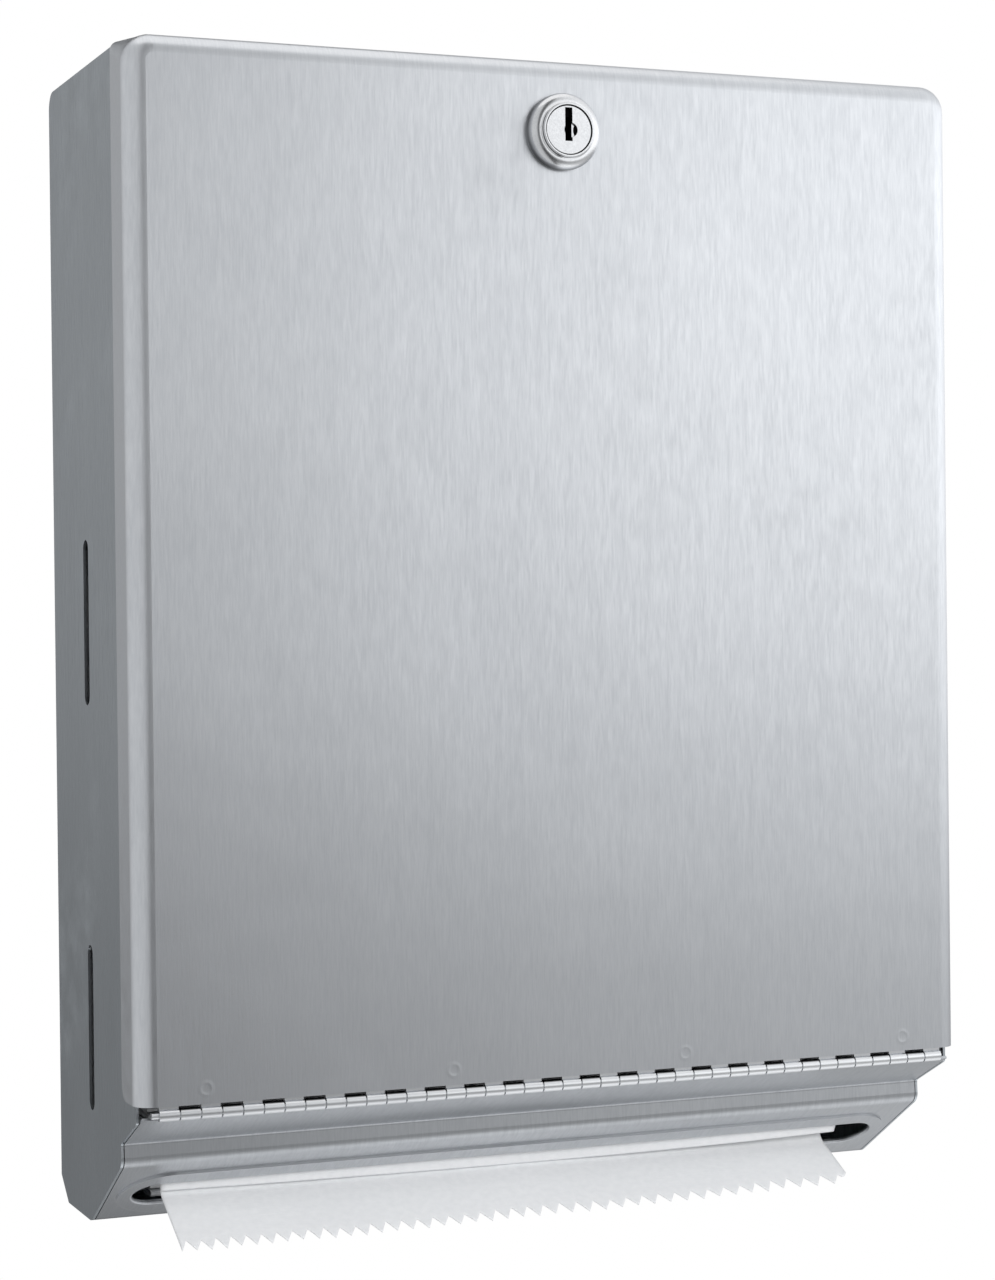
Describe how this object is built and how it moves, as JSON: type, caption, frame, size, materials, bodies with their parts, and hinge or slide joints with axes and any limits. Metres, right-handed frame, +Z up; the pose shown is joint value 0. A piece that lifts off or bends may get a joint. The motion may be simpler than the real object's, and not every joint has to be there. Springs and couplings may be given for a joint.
{
  "type": "paper towel dispenser",
  "caption": "Wall-mounted satin steel dispenser for folded paper towels: drop-down door on a piano hinge, cam lock, refill sight slots in the sides and a hemmed towel slot in a sloping tray.",
  "frame": {"origin": "centre of the four wall screw holes, on the back face that lies against the wall", "axes": "+X to the viewer's right, +Y into the wall, +Z up"},
  "size_m": [0.273, 0.1074, 0.3579],
  "materials": {
    "satin_stainless": "satin, brushed upright",
    "hinge_steel": "bright, smooth",
    "satin_chrome": "satin chrome",
    "zinc_steel": "zinc plated",
    "wafer_brass": "bare stamped brass",
    "spring_wire": "drawn wire",
    "paper": "matt creped paper"
  },
  "bodies": {
    "cabinet": {"cabinet_wrap": "satin_stainless", "left_side_panel": "satin_stainless", "right_side_panel": "satin_stainless", "towel_tray": "satin_stainless", "tray_hinge_leaf": "hinge_steel", "hinge_pin": "hinge_steel", "lock_keeper": "zinc_steel", "towel_stack": "paper"},
    "door": {"door_panel": "satin_stainless", "door_hinge_leaf": "hinge_steel", "lock_collar": "satin_chrome", "lock_body": "satin_chrome", "lock_washer": "zinc_steel", "lock_nut": "zinc_steel"},
    "lock_plug": {"lock_plug": "satin_chrome", "wafer_springs": "spring_wire", "lock_cam": "zinc_steel", "cam_washer": "zinc_steel", "cam_screw": "zinc_steel"},
    "wafers": {"lock_wafers": "wafer_brass"},
    "towel": {"hanging_towel": "paper"},
    "next_towel": {"next_towel": "paper"}
  },
  "joints": [
    {"name": "door_swing", "type": "hinge", "parent": "cabinet", "child": "door", "pos_m": [0, -0.1004, -0.136], "axis": [1, 0, 0], "range_deg": [0, 180]},
    {"name": "lock_turn", "type": "hinge", "parent": "door", "child": "lock_plug", "pos_m": [0, -0.1, 0.1553], "axis": [0, 1, 0], "range_deg": [0, 90]},
    {"name": "wafer_slide", "type": "slide", "parent": "lock_plug", "child": "wafers", "axis": [0, 0, 1], "range_m": [0, 0.0008], "deforming": ["wafer_springs"]},
    {"name": "towel_pull", "type": "slide", "parent": "cabinet", "child": "towel", "axis": [0, 0, -1], "range_m": [0, 0.035]},
    {"name": "next_towel_draw", "type": "slide", "parent": "cabinet", "child": "next_towel", "axis": [0, 0, -1], "range_m": [0, 0.0175]}
  ],
  "couplings": [
    {"joint": "next_towel_draw", "follows": "towel_pull", "ratio": 0.5}
  ]
}
